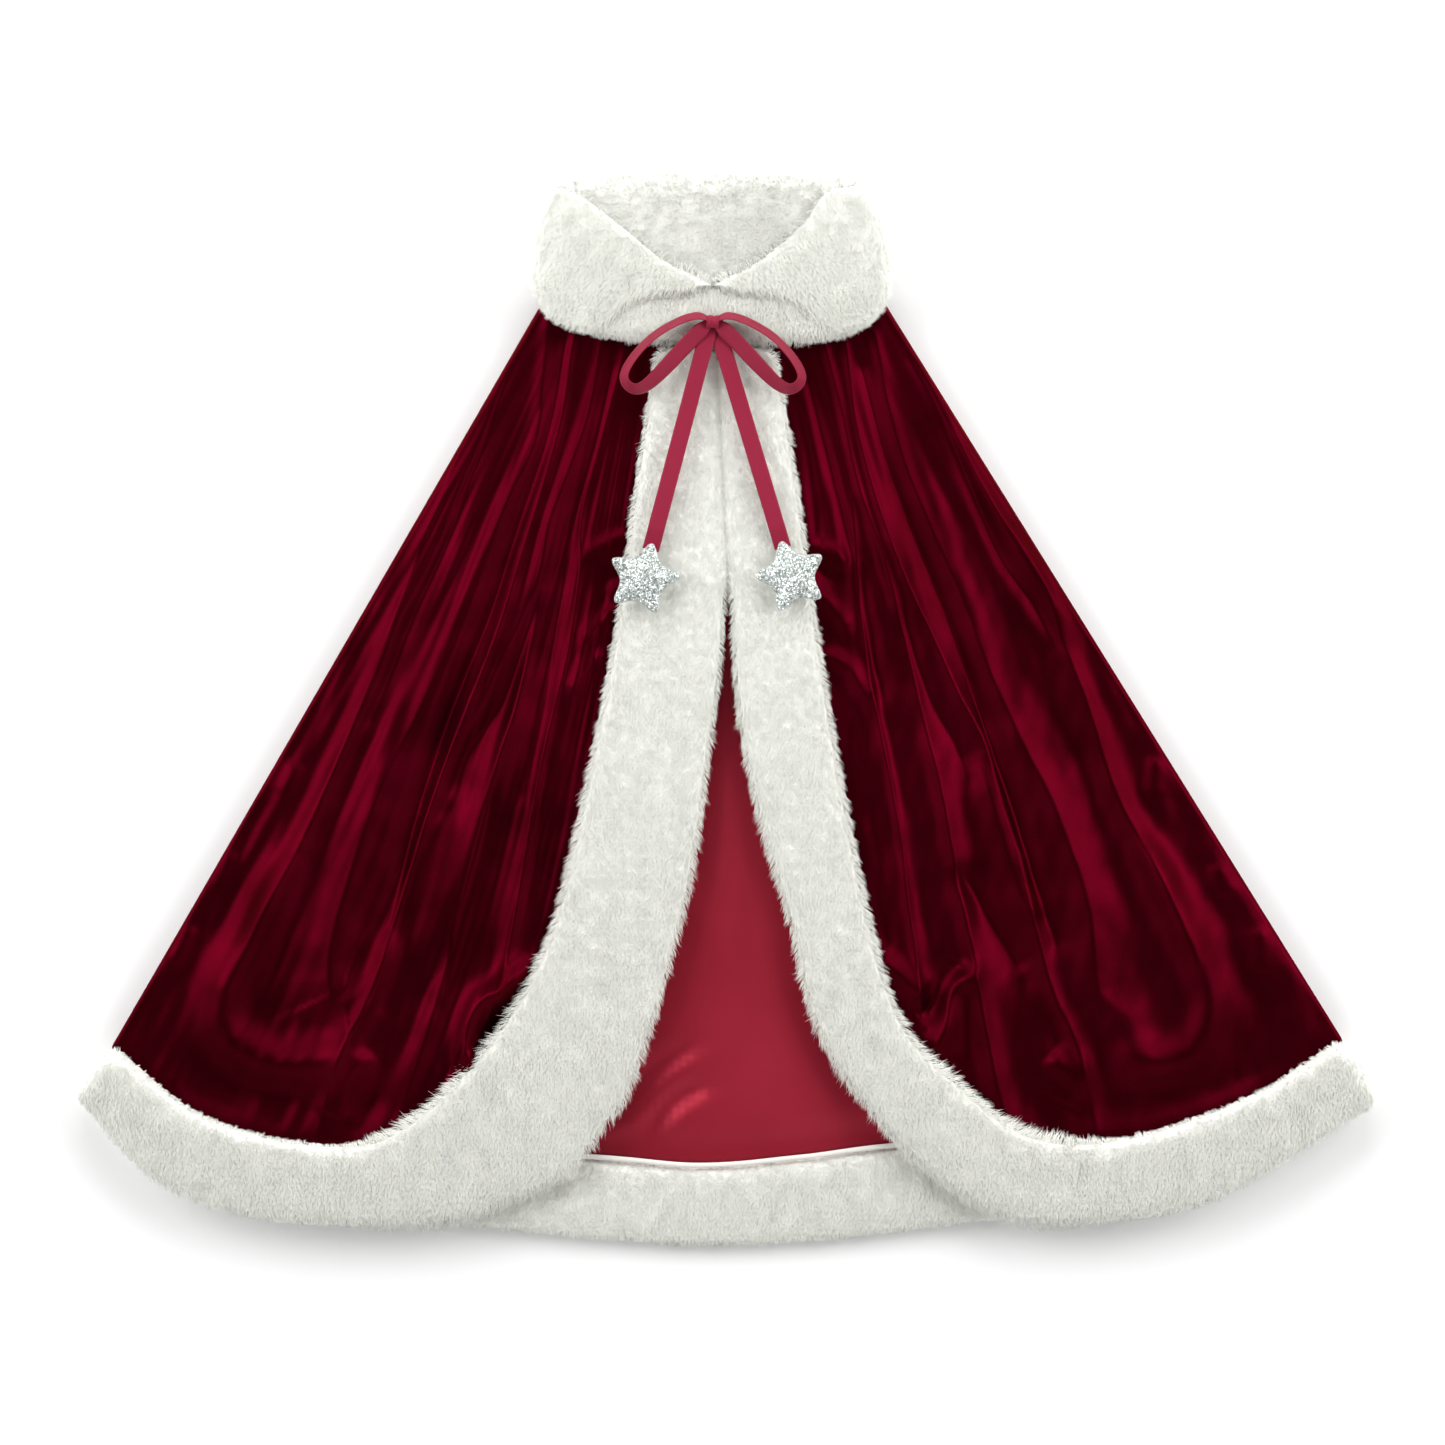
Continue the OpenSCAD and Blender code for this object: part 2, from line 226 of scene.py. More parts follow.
def bump_from(material, shader, height, strength, distance):
    bump = add(material, "Bump", Strength=strength, Distance=distance)
    join(material, height, bump.inputs["Height"])
    join(material, bump.outputs["Normal"], shader.inputs["Normal"])


def colour_ramp(owner, source, stops):
    ramp = add(owner, "ValToRGB")
    while len(ramp.color_ramp.elements) < len(stops):
        ramp.color_ramp.elements.new(0.5)
    for element, (place, colour) in zip(ramp.color_ramp.elements, stops):
        element.position = place
        element.color = (*colour, 1)
    join(owner, source, ramp.inputs["Fac"])
    return ramp.outputs["Color"]


def pattern(material, kind, space="Object", **values):
    """Fac output of a texture laid out in the piece's own coordinates, or in its UV."""
    texture = add(material, kind, **values)
    join(material, add(material, "TexCoord").outputs[space], texture.inputs["Vector"])
    return texture.outputs["Fac"]


def noise(material, scale, detail=3):
    return pattern(material, "TexNoise", Scale=scale, Detail=detail)


def tint(material, shader, source, stops):
    """Colours the shader by a ramp along source."""
    join(material, colour_ramp(material, source, stops), shader.inputs["Base Color"])


def velvet_material():
    """Dark crimson pile that lights up on the slopes that face a lamp."""
    material, shader = principled("velvet", Metallic=0.96, Roughness=0.44, Sheen_Weight=0.05,
                                  Sheen_Roughness=0.4, Sheen_Tint=(0.8, 0.16, 0.2, 1),
                                  Specular_Tint=(1, 0.1, 0.2, 1))
    tint(material, shader, noise(material, 24),
         [(0.3, (0.045, 0.0002, 0.0032)), (0.7, (0.073, 0.0003, 0.0057))])
    bump_from(material, shader, noise(material, 2600, 2), 0.2, 0.0004)
    return material


def lining_material():
    """Crimson satin with fine threads across."""
    material, shader = principled("lining", Roughness=0.36, Specular_IOR_Level=0.5, Metallic=0.35,
                                  Specular_Tint=(1, 0.35, 0.4, 1), Anisotropic=0.4)
    threads = pattern(material, "TexWave", Scale=900, Distortion=0.6, bands_direction="Y")
    tint(material, shader, noise(material, 9), [(0.3, (0.31, 0.014, 0.03)), (0.7, (0.38, 0.021, 0.043))])
    bump_from(material, shader, threads, 0.12, 0.0002)
    return material


def pile_material(name, dark, light):
    """Ground of the plush, under the strands."""
    material, shader = principled(name, Roughness=0.95, Sheen_Weight=0.2, Sheen_Roughness=0.6)
    tufts = noise(material, 260, 4)
    tint(material, shader, tufts, [(0.35, dark), (0.65, light)])
    bump_from(material, shader, tufts, 0.5, 0.002)
    return material


def strand_material(name, colour):
    return principled(name, Base_Color=(*colour, 1), Roughness=0.8, Specular_IOR_Level=0.2,
                      Sheen_Weight=0.2, Sheen_Roughness=0.7)[0]


def ribbon_material():
    """Ribbed crimson ribbon; the ribs follow the UV that ribbon() lays along each length."""
    material, shader = principled("ribbon", Roughness=0.5, Specular_IOR_Level=0.35,
                                  Specular_Tint=(1, 0.4, 0.5, 1), Sheen_Weight=0.2,
                                  Sheen_Tint=(1, 0.3, 0.4, 1))
    ribs = pattern(material, "TexWave", "UV", Scale=1, bands_direction="X", Distortion=0.3)
    tint(material, shader, ribs, [(0.1, (0.21, 0.008, 0.028)), (0.9, (0.3, 0.016, 0.046))])
    bump_from(material, shader, ribs, 0.35, 0.0002)
    return material


def tape_material():
    """White woven tape."""
    material, shader = principled("tape", Roughness=0.85)
    weave = pattern(material, "TexChecker", Scale=1400)
    tint(material, shader, weave, [(0, (0.72, 0.7, 0.64)), (1, (0.86, 0.84, 0.8))])
    bump_from(material, shader, weave, 0.3, 0.0002)
    return material


def flake_material(name, colour, roughness):
    return principled(name, Base_Color=(*colour, 1), Metallic=1.0, Roughness=roughness)[0]


def spun_material(name, dark, light, scale, metallic=0.0, roughness=0.7):
    """Twisted or brushed thread: fine noise in colour and relief."""
    material, shader = principled(name, Roughness=roughness, Metallic=metallic)
    fibre = noise(material, scale, 4)
    tint(material, shader, fibre, [(0.35, dark), (0.65, light)])
    bump_from(material, shader, fibre, 0.4, 0.0005)
    return material


VELVET = velvet_material()
LINING = lining_material()
PLUSH = pile_material("plush", (0.92, 0.92, 0.87), (0.96, 0.96, 0.92))
STRANDS = [strand_material("strand_" + name, colour) for name, colour in
           (("cream", (0.955, 0.965, 0.89)), ("white", (0.97, 0.98, 0.93)), ("shade", (0.92, 0.93, 0.83)))]
RIBBON = ribbon_material()
TAPE = tape_material()
SILVER_CLOTH = spun_material("silver_cloth", (0.6, 0.63, 0.61), (0.84, 0.88, 0.86), 1500, 0.5, 0.55)
SILVER_RIM = spun_material("silver_rim", (0.4, 0.43, 0.42), (0.66, 0.7, 0.69), 900, 0.7, 0.35)
FILLING = spun_material("filling", (0.78, 0.78, 0.76), (0.92, 0.92, 0.9), 700)
THREAD = spun_material("thread", (0.4, 0.41, 0.42), (0.66, 0.67, 0.68), 4000)
FLAKES = [flake_material("flake_bright", (0.95, 0.99, 0.97), 0.2),
          flake_material("flake_mid", (0.78, 0.83, 0.81), 0.3),
          flake_material("flake_dark", (0.3, 0.34, 0.33), 0.35)]


# ------------ plush

STRANDS_PER_MM2 = 1.5    # strands on each square millimetre of plush
STRAND_WIDTH = 0.34 * MM
STRAND_LIMIT = 60000     # strands in one piece
TUFT = 4.2 * MM          # size of the tufts that the strands gather in
TUFT_KINDS = 4096        # random middles, used over and over
PRIMES = (73856093, 19349663, 83492791)     # large, so that near tufts differ in kind
PLUSH_INSET = 2.5 * MM   # how far the padded ground stays inside the plush, for the strands to fill
BAND_INSET = 2.4 * MM    # the same at the sides of the strips along the edges
CLOTH_GAP = 1 * MM       # between the padded ground and what it lies on


def tuft_pull(roots, seed):
    """From each root to the middle of its tuft, in a grid of tufts with random middles."""
    rng = np.random.default_rng(seed)
    middles = rng.uniform(0.15, 0.85, (TUFT_KINDS, 3))
    cell = np.floor(roots / TUFT).astype(np.int64)
    kind = np.bitwise_xor.reduce(cell * PRIMES, axis=1) % TUFT_KINDS
    return (cell + middles[kind]) * TUFT - roots


def strands(name, roots, normals, comb, length, join_body, seed):
    """Short fibres on the given roots, bent towards comb and drawn together in tufts.
    Each is a blade of five corners that looks away from the ground; the table flattens the lowest."""
    sway, swirl, swirl_size = 0.17, 0.28, 16 * MM
    rng = np.random.default_rng(seed)
    count = len(roots)
    size = length.reshape(-1, 1) * rng.uniform(0.6, 1.2, (count, 1))
    lean = comb + rng.normal(0, sway, (count, 3))
    for axis in (0, 1):
        lean[:, axis] += swirl * wave_noise(roots[:, 0], roots[:, 1], swirl_size, seed + 1 + axis)
    lean -= (lean * normals).sum(1, keepdims=True) * normals
    out = unit(0.75 * normals + lean)
    sky = unit(normals + np.where(normals[:, 2:] > -0.3, 0.8, 0.0) * UP)
    face = unit(sky - (sky * out).sum(1, keepdims=True) * out + 0.02 * unit(lean))
    flat = np.cross(out, face)
    turn = rng.uniform(-0.6, 0.6, (count, 1))
    side = (flat * np.cos(turn) + face * np.sin(turn)) * STRAND_WIDTH / 2
    mid = roots + out * size * 0.55
    pull = 0.16 + 0.36 * (1 - np.abs(normals[:, 2:]))
    tip = mid + unit(0.4 * normals + lean) * size * 0.5 + pull * tuft_pull(roots, seed)
    verts = np.stack([roots - side, roots + side, mid - side * 0.8, mid + side * 0.8, tip], axis=1)
    verts[..., 2] = np.maximum(verts[..., 2], 0.2 * MM)
    glow = unit(sky + 0.5 * normals + 0.2 * lean)
    for part, start in enumerate(range(0, count, STRAND_LIMIT)):
        stop = min(start + STRAND_LIMIT, count)
        base = np.arange(stop - start)[:, None] * 5
        piece = make_mesh(f"{name}_{part + 1}", verts[start:stop].reshape(-1, 3),
                          base + [0, 1, 3, 2], base + [2, 3, 4], STRANDS,
                          np.tile(rng.choice(3, stop - start, p=[0.5, 0.35, 0.15]), 2))
        piece.data.normals_split_custom_set_from_vertices(np.repeat(glow[start:stop], 5, axis=0))
        join_body(piece)


def scatter(grid, normals, per_mm2, rng):
    """Random places and their normals on a grid closed round its columns, with few underneath."""
    nxt = np.roll(np.arange(grid.shape[1]), -1)

    def corners(field):
        return field[:-1], field[:-1][:, nxt], field[1:][:, nxt], field[1:]

    a, b, c, d = corners(grid)
    density = np.where(normals[:-1, :, 2] < -0.5, 0.25, 1)
    area = np.linalg.norm(np.cross(c - a, d - b), axis=-1) / 2 * density
    count = int(area.sum() * 1e6 * per_mm2)
    pick = rng.choice(area.size, count, p=(area / area.sum()).ravel())
    s, t = rng.uniform(0, 1, (2, count, 1))

    def mix(field):
        a, b, c, d = (x.reshape(-1, 3)[pick] for x in corners(field))
        return (a * (1 - t) + b * t) * (1 - s) + (d * (1 - t) + c * t) * s

    return mix(grid), unit(mix(normals))


def tube_between(edge_a, edge_b, low, high, inset, ends, tilt=0.0, square=0.62):
    """Closed band between two edges: a rounded box in section, drawn in by inset all round.
    low and high are its heights, one each or one per station. ends is the part of its length over
    which it rounds off at both ends, and tilt raises its edge_b side. The lower square is, the
    squarer the section."""
    stations = len(edge_a)
    turn = np.linspace(0, 2 * math.pi, 30, endpoint=False)
    across = 0.5 + 0.5 * np.sign(np.cos(turn)) * np.abs(np.cos(turn)) ** square
    rise = np.sign(np.sin(turn)) * np.abs(np.sin(turn)) ** square
    width = np.linalg.norm(edge_b - edge_a, axis=1)
    margin = np.minimum(inset / np.maximum(width, 1e-6), 0.42)[:, None]
    at = margin + across[None, :] * (1 - 2 * margin)
    xy = edge_a[:, None, :2] * (1 - at[..., None]) + edge_b[:, None, :2] * at[..., None]
    low = np.broadcast_to(low, stations)[:, None]
    high = np.broadcast_to(high, stations)[:, None]
    z = (low + high) / 2 + (high - low) / 2 * rise[None, :] + tilt * (at - 0.5) * (rise > 0)
    grid = np.dstack([xy, z])
    grid[..., 2] += 0.6 * MM * wave_noise(grid[..., 0], grid[..., 1], 0.03, 3) * (rise > 0)
    from_end = np.minimum(np.arange(stations), np.arange(stations)[::-1]) / (stations - 1) / ends
    shrink = np.sqrt(1 - (1 - np.clip(from_end, 0.02, 1)) ** 2)[:, None, None]
    middle = grid.mean(axis=1, keepdims=True)
    return middle + (grid - middle) * shrink


def rider(body):
    """Gives the call that makes a piece ride on a body."""
    return lambda piece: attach(piece, body)


def plush_band(name, grid, nodes, join_body, seed, comb=(0, -0.8, 0), length=4.6 * MM, trim=None):
    """Padded ground with strands all over it. trim, if given, scales the strands' length by place."""
    ground = closed_tube(name, grid, PLUSH)
    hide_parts(*nodes)
    join_body(ground)
    normals = grid_normals(grid, close_cols=True)
    middle = grid.mean(axis=1, keepdims=True)
    if ((grid - middle) * normals).sum() < 0:
        normals = -normals
    density = STRANDS_PER_MM2 * 1
    roots, up = scatter(grid, normals, density, np.random.default_rng(seed))
    size = np.full(len(roots), length)
    if trim:
        size = size * trim(roots, up)
    strands(name + "_strands", roots, up, np.array(comb, float), size, join_body, seed)


# ------------ outlines, in millimetres

SEAM = {"left": [(-44, 219), (-56, 140), (-68, 52), (-92, -72), (-112, -144), (-150, -206),
                 (-205, -254), (-262, -257), (-320, -239), (-370, -199)],
        "right": [(28, 219), (41, 140), (58, 18), (82, -114), (103, -184), (133, -219),
                  (181, -254), (237, -255), (312, -230), (368, -195)]}
EDGE = {"left": [(-8.5, 219), (-1.5, 75), (-10, -18), (-26, -120), (-57, -222), (-81, -268),
                 (-128, -293), (-176, -307), (-271, -306), (-342, -284), (-392, -232)],
        "right": [(-6.5, 219), (0.5, 75), (4, 6), (16, -60), (34, -120), (55, -197), (98, -256),
                  (133, -286), (167, -304), (211, -307), (290, -294), (392, -234)]}
NECK = {"left": (-113, 246), "right": (94, 246)}
BACK_SEAM = [(-370, -199), (-320, -239), (-262, -257), (-170, -266), (-81, -269), (-17, -274),
             (44, -269), (100, -262), (181, -258), (237, -255), (312, -230), (368, -195)]
BACK_EDGE = [(-392, -232), (-342, -284), (-271, -306), (-176, -310), (-81, -319), (-17, -322.5),
             (36, -321), (90, -316), (167, -306), (211, -307), (290, -294), (392, -234)]
COLLAR_ROLL = {"left": [(-103, 311), (-91, 311), (-65, 293), (-38, 271), (-18, 261), (-9.6, 256)],
               "right": [(76, 313), (57, 311), (40, 290), (14, 269), (-3, 260), (-9.6, 256)]}
COLLAR_FALL = {"left": [(-104, 317), (-114, 293), (-117, 269), (-116.5, 251), (-108, 235), (-96, 228),
                        (-84, 225.5), (-74, 229), (-63, 240), (-48, 245.5), (-30, 248.5), (-9.6, 251)],
               "right": [(77, 319), (92, 292), (96, 266), (95.5, 249), (87, 234), (76, 227.5),
                         (65, 225.5), (55, 229), (45, 239.5), (30, 245), (12, 248.5), (-9.6, 251)]}
COLLAR_TOP = [(-110, 262), (-108, 291), (-100, 313), (-82, 320), (-23, 322.5), (25, 322),
              (55, 319), (73, 315), (85, 290), (89, 260)]
COLLAR_FOOT = [(-110, 250), (-108, 244), (-97, 240), (-70, 238), (-23, 238), (25, 238), (50, 238),
               (74, 240), (86, 244), (89, 250)]
LIP_TOP = [(-110, 250), (-95, 250), (-76, 250), (-53, 252), (-33, 254), (-9.6, 256), (14, 254),
           (36, 252), (58, 250), (76, 250), (90, 250)]
LIP_FOOT = [(-112, 246), (-104, 234), (-89, 226.5), (-72, 222), (-50, 219.5), (-33, 219.5),
            (-9.6, 220), (14, 219.5), (33, 219.5), (55, 221.5), (72, 225.5), (84, 233), (92, 246)]

KNOT = np.array([-9.6, 236, 39.1])  # its middle, a little left of the cape's


def levels(node):
    """Lowest and highest z of a CAD node."""
    low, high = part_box(node)
    return low.z, high.z


FRONT_FUR_LOW, FRONT_FUR_TOP = levels("left_corner_fur")
HEM_LOW = levels("left_hem_fur")[0]
BACK_FUR_TOP = levels("back_hem_fur")[1]
VELVET_TOP = levels("left_front_velvet")[1]
LINING_TOP = levels("back_lining")[1]

# Each fold of the velvet: height (a valley's is below 0), half-width at its start and at its end,
# how crisp its crest is from 0 to 1, and the line that it follows. The lining's are given likewise.
LEFT_FOLDS = [
    (4.5, 5, 9, 0.4, [(-128, 226), (-148, 165), (-175, 100), (-203, 42), (-236, -33), (-258, -84),
        (-282, -128), (-300, -165)]),
    (6.5, 11, 14, 0.05, [(-262, -84), (-282, -129), (-301, -166), (-300, -196), (-272, -212),
        (-240, -208), (-222, -190)]),
    (3.0, 4, 6, 0.5, [(-138, 215), (-160, 160), (-184, 100), (-206, 42)]),
    (-3.2, 3, 6, 0.4, [(-128, 215), (-146, 165), (-168, 105), (-192, 50), (-214, -5)]),
    (5.5, 4, 16, 0.35, [(-108, 236), (-112, 198), (-116, 162), (-134, 123), (-161, 60), (-176, 21),
        (-209, -48), (-226, -95), (-240, -150), (-232, -176), (-206, -150)]),
    (-5.5, 3, 9, 0.6, [(-98, 222), (-108, 170), (-128, 108), (-143, 60), (-161, 15), (-175, -22),
        (-190, -70), (-204, -130)]),
    (4.2, 3, 7, 0.7, [(-93, 225), (-102, 170), (-120, 108), (-140, 45), (-160, -5), (-180, -60),
        (-198, -118), (-214, -170), (-232, -205), (-248, -256)]),
    (4.5, 4, 9, 0.5, [(-76, 226), (-84, 180), (-95, 147), (-107, 114), (-114, 81), (-124, 55),
        (-152, -3), (-170, -50)]),
    (-5.0, 5, 9, 0.3, [(-112, 80), (-122, 45), (-137, 3), (-156, -26), (-166, -60)]),
    (3.2, 3, 5, 0.8, [(-63, 215), (-78, 158), (-88, 120), (-90, 84), (-95, 42), (-102, 12), (-113, -33),
        (-120, -78), (-127, -115), (-138, -174)]),
    (-2.6, 3, 6, 0.4, [(-70, 205), (-82, 150), (-96, 100), (-104, 50), (-110, 5), (-122, -50)]),
    (4.8, 3, 12, 0.5, [(-112, 72), (-128, 3), (-138, -28), (-150, -72), (-162, -117), (-170, -155),
        (-185, -207), (-203, -254)]),
    (-4.0, 4, 12, 0.3, [(-140, -40), (-152, -90), (-170, -150), (-182, -170)]),
    (3.4, 4, 6, 0.2, [(-60, 106), (-72, 101), (-84, 94)]),
    (3.4, 4, 6, 0.2, [(-64, 62), (-74, 56), (-86, 40)]),
    (-3.0, 4, 6, 0.2, [(-62, 84), (-76, 76)]),
    (3.0, 5, 7, 0.2, [(-74, 34), (-84, 28), (-95, 10)]),
    (8.0, 7, 9, 0.3, [(-118, -150), (-134, -166), (-150, -176), (-158, -200), (-150, -222)]),
    (-6.5, 7, 9, 0.2, [(-122, -182), (-140, -192), (-146, -210)]),
    (4.5, 8, 12, 0.2, [(-215, -205), (-228, -222), (-240, -246)]),
    (-3.5, 14, 18, 0.0, [(-190, -232), (-222, -238), (-262, -236), (-320, -218)]),
    (1.8, 6, 8, 0.0, [(-262, -30), (-270, -50)]),
    (1.8, 7, 9, 0.0, [(-300, -84), (-310, -108)]),
    (2.0, 8, 9, 0.0, [(-324, -128), (-336, -152)]),
]
RIGHT_FOLDS = [
    (4.5, 5, 9, 0.4, [(112, 226), (128, 180), (157, 126), (187, 81), (199, 45), (215, 5), (229, -42),
        (244, -74), (262, -108), (280, -150)]),
    (6.5, 11, 14, 0.05, [(244, -74), (264, -112), (280, -146), (289, -178), (278, -204), (250, -210),
        (232, -192)]),
    (3.0, 4, 6, 0.5, [(118, 215), (142, 155), (166, 108), (186, 74)]),
    (-4.2, 3, 7, 0.5, [(110, 210), (126, 180), (146, 132), (162, 94), (182, 64), (196, 40)]),
    (5.5, 4, 14, 0.4, [(88, 226), (95, 186), (105, 150), (118, 117), (134, 81), (148, 45), (160, 15),
        (177, -21), (192, -51), (206, -86), (217, -124), (222, -168), (238, -182)]),
    (-5.8, 3, 9, 0.6, [(80, 205), (94, 153), (109, 111), (121, 81), (133, 51), (146, 13), (160, -30),
        (174, -72), (186, -112), (196, -140)]),
    (4.4, 3, 9, 0.7, [(70, 222), (76, 175), (88, 128), (104, 84), (122, 45), (138, 10), (153, -18),
        (164, -54), (176, -92), (184, -130), (194, -168), (212, -210), (221, -254)]),
    (4.2, 3, 8, 0.6, [(57, 222), (66, 186), (77, 138), (92, 92), (106, 42), (117, -6), (127, -48),
        (136, -96), (145, -138), (153, -186), (162, -230), (170, -250)]),
    (-5.0, 5, 10, 0.3, [(102, 66), (109, 40), (121, 6), (136, -21), (144, -40)]),
    (3.2, 3, 5, 0.8, [(74, 128), (78, 72), (85, 18), (94, -27), (100, -60), (104, -85), (107, -112),
        (112, -147), (117, -190)]),
    (-2.8, 3, 6, 0.4, [(48, 196), (60, 150), (70, 112), (80, 60), (90, 10)]),
    (-4.2, 6, 12, 0.3, [(134, -92), (148, -112), (166, -142), (178, -160)]),
    (4.6, 7, 16, 0.2, [(150, -32), (160, -62), (170, -96), (184, -130)]),
    (3.4, 4, 6, 0.2, [(48, 99), (60, 96), (72, 88)]),
    (3.2, 4, 6, 0.2, [(52, 72), (62, 62), (70, 48)]),
    (3.8, 5, 7, 0.2, [(54, 34), (70, 27), (84, 6)]),
    (-3.0, 4, 6, 0.2, [(50, 86), (64, 78)]),
    (5.0, 8, 9, 0.2, [(90, -148), (104, -160), (116, -172)]),
    (7.0, 7, 9, 0.3, [(148, -156), (134, -168), (130, -190), (122, -206)]),
    (-4.5, 7, 9, 0.2, [(112, -184), (124, -176), (140, -150)]),
    (4.5, 8, 12, 0.2, [(192, -206), (206, -222), (200, -238)]),
    (-3.5, 14, 18, 0.0, [(180, -236), (222, -238), (262, -232), (320, -214)]),
    (1.8, 6, 8, 0.0, [(256, -28), (256, -52)]),
    (1.8, 7, 9, 0.0, [(294, -92), (298, -112)]),
    (2.0, 8, 9, 0.0, [(318, -130), (322, -158)]),
]
FOLDS = {"left": LEFT_FOLDS, "right": RIGHT_FOLDS}
LINING_FOLDS = [
    (1.8, 5, 7, 0.3, [(-8, -206), (-32, -219), (-58, -246), (-90, -268)]),
    (-4.2, 6, 8, 0.1, [(-14, -226), (-34, -236), (-49, -258)]),
    (1.4, 4, 6, 0.3, [(-4, -232), (-24, -243), (-36, -262)]),
    (-3.4, 7, 10, 0.1, [(-20, -200), (-50, -222), (-76, -244)]),
    (1.6, 6, 10, 0.1, [(-2, 40), (0, -20), (2, -90), (-10, -150)]),
    (-1.4, 5, 9, 0.1, [(-12, 30), (-16, -40), (-26, -110)]),
    (1.5, 10, 16, 0.0, [(20, -120), (36, -190), (60, -250)]),
]


def across_fold():
    """Gives the call that bakes a piece's placement into its mesh."""

    def bend(piece):
        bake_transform(piece)

    return bend


def matched(a, b):
    """Both lines paired so that the rungs between them stay square to the band."""
    count = len(a)
    for _ in range(12):
        middle = (a + b) / 2
        way = unit(np.gradient(middle, axis=0))
        slip = ((b - a) * way).sum(1)
        step = np.linalg.norm(np.diff(b, axis=0), axis=1).mean()
        index = np.clip(np.arange(count) - slip / (2 * step), 0, count - 1)
        index = np.maximum.accumulate(index)
        index[0], index[-1] = 0, count - 1
        b = np.stack([np.interp(index, np.arange(count), b[:, k]) for k in range(b.shape[1])], axis=1)
    return a, b


# ------------ plush pieces

def front_plush(side):
    """Plush strip from the neck down the front edge, round the corner and along the hem. The two
    strips meet below the collar, and each hem's outer end rises as it thins out."""
    seam, edge = matched(curve(SEAM[side], 260), curve(EDGE[side], 260))
    meet = 5 * MM if side == "left" else -5.5 * MM
    meet_foot, meet_ease = 60 * MM, 30 * MM
    hem_top, hem_ease = 200 * MM, 100 * MM
    end_from, end_ease, end_low = 350 * MM, 35 * MM, 7 * MM
    edge[:, 0] += meet * smooth((edge[:, 1] - meet_foot) / meet_ease)
    hem = np.clip((-edge[:, 1] - hem_top) / hem_ease, 0, 1)
    outer_end = smooth((np.abs(edge[:, 0]) - end_from) / end_ease)
    low = FRONT_FUR_LOW * (1 - hem) + HEM_LOW * hem + CLOTH_GAP
    low = low * (1 - outer_end) + end_low * outer_end
    grid = tube_between(seam, edge, low, FRONT_FUR_TOP - PLUSH_INSET, BAND_INSET, ends=0.012)

    def trim(roots, up):
        """Longer at the bare edges of the strip, and short along the clean seam of the hem."""
        beside = 1 - np.abs(up[:, 2])
        on_hem = smooth((np.abs(roots[:, 0]) - 190 * MM) / (50 * MM))
        inward = smooth(up[:, 1] / 0.6) * on_hem
        return 0.85 + 1.15 * beside ** 2 * (1 - on_hem) - 0.45 * inward

    nodes = [side + "_front_fur", side + "_corner_fur", side + "_hem_fur"]
    plush_band(side + "_edge_plush", grid, nodes, across_fold(), 20 + len(side), trim=trim)


def back_plush():
    """Plush strip along the hem of the back, shorter at its upper seam."""
    seam, edge = curve(BACK_SEAM, 200), curve(BACK_EDGE, 200)
    grid = tube_between(seam, edge, CLOTH_GAP, BACK_FUR_TOP - PLUSH_INSET, BAND_INSET, ends=0.02)
    plush_band("back_hem_plush", grid, ["back_hem_fur"], rider("cape"), 31,
               trim=lambda roots, up: 0.85 - 0.45 * smooth(up[:, 1] / 0.6))


def collar():
    """Back of the collar, the two rolled fronts over it, their side wraps, and the lip under them."""
    back_top = levels("collar_back_stand")[1]
    front_low, front_top = levels("collar_left_front")
    lip_low, lip_top = levels("collar_lip")
    cape = rider("cape")
    back = tube_between(curve(COLLAR_TOP, 120), curve(COLLAR_FOOT, 120), 1.5 * MM, back_top + 8 * MM,
                        PLUSH_INSET, ends=0.05, square=0.55)
    plush_band("collar_back_plush", back, ["collar_back_fall", "collar_back_stand"], cape, 41,
               comb=(0, -0.2, 0))
    lip_line = curve(LIP_TOP, 120)
    from_knot = np.abs(lip_line[:, 0] - KNOT[0] * MM)
    outer_rise = 2 * MM * smooth((from_knot - 38 * MM) / (30 * MM))
    lip = tube_between(lip_line, curve(LIP_FOOT, 120), lip_low + CLOTH_GAP,
                       lip_top + outer_rise - PLUSH_INSET, 2 * MM, ends=0.05, tilt=-2 * MM)
    plush_band("collar_lip_plush", lip, ["collar_lip"], cape, 42)
    for side, turn in (("left", -1), ("right", 1)):
        roll, fall = curve(COLLAR_ROLL[side], 110), curve(COLLAR_FALL[side], 110)
        front = tube_between(roll, fall, front_low - 2 * MM, front_top - 9.5 * MM, PLUSH_INSET,
                             ends=0.06, tilt=1 * MM, square=0.7)
        plush_band(side + "_collar_plush", front, [f"collar_{side}_front"], cape, 43 + len(side),
                   comb=(0.35 * turn, -0.7, 0), length=5 * MM)
        line = np.array(COLLAR_FALL[side][:5], float) * MM
        inner = line - [17 * MM * turn, 0]
        wrap = tube_between(spaced(line, 40), spaced(inner, 40), 14 * MM, front_low + 4 * MM,
                            PLUSH_INSET, ends=0.15)
        plush_band(side + "_wrap_plush", wrap, [f"collar_{side}_wrap"], cape, 46 + len(side),
                   comb=(0.5 * turn, -0.3, 0))


# ------------ cloth pieces

VELVET_THICK = 1.2 * MM
SATIN_THICK = 0.5 * MM


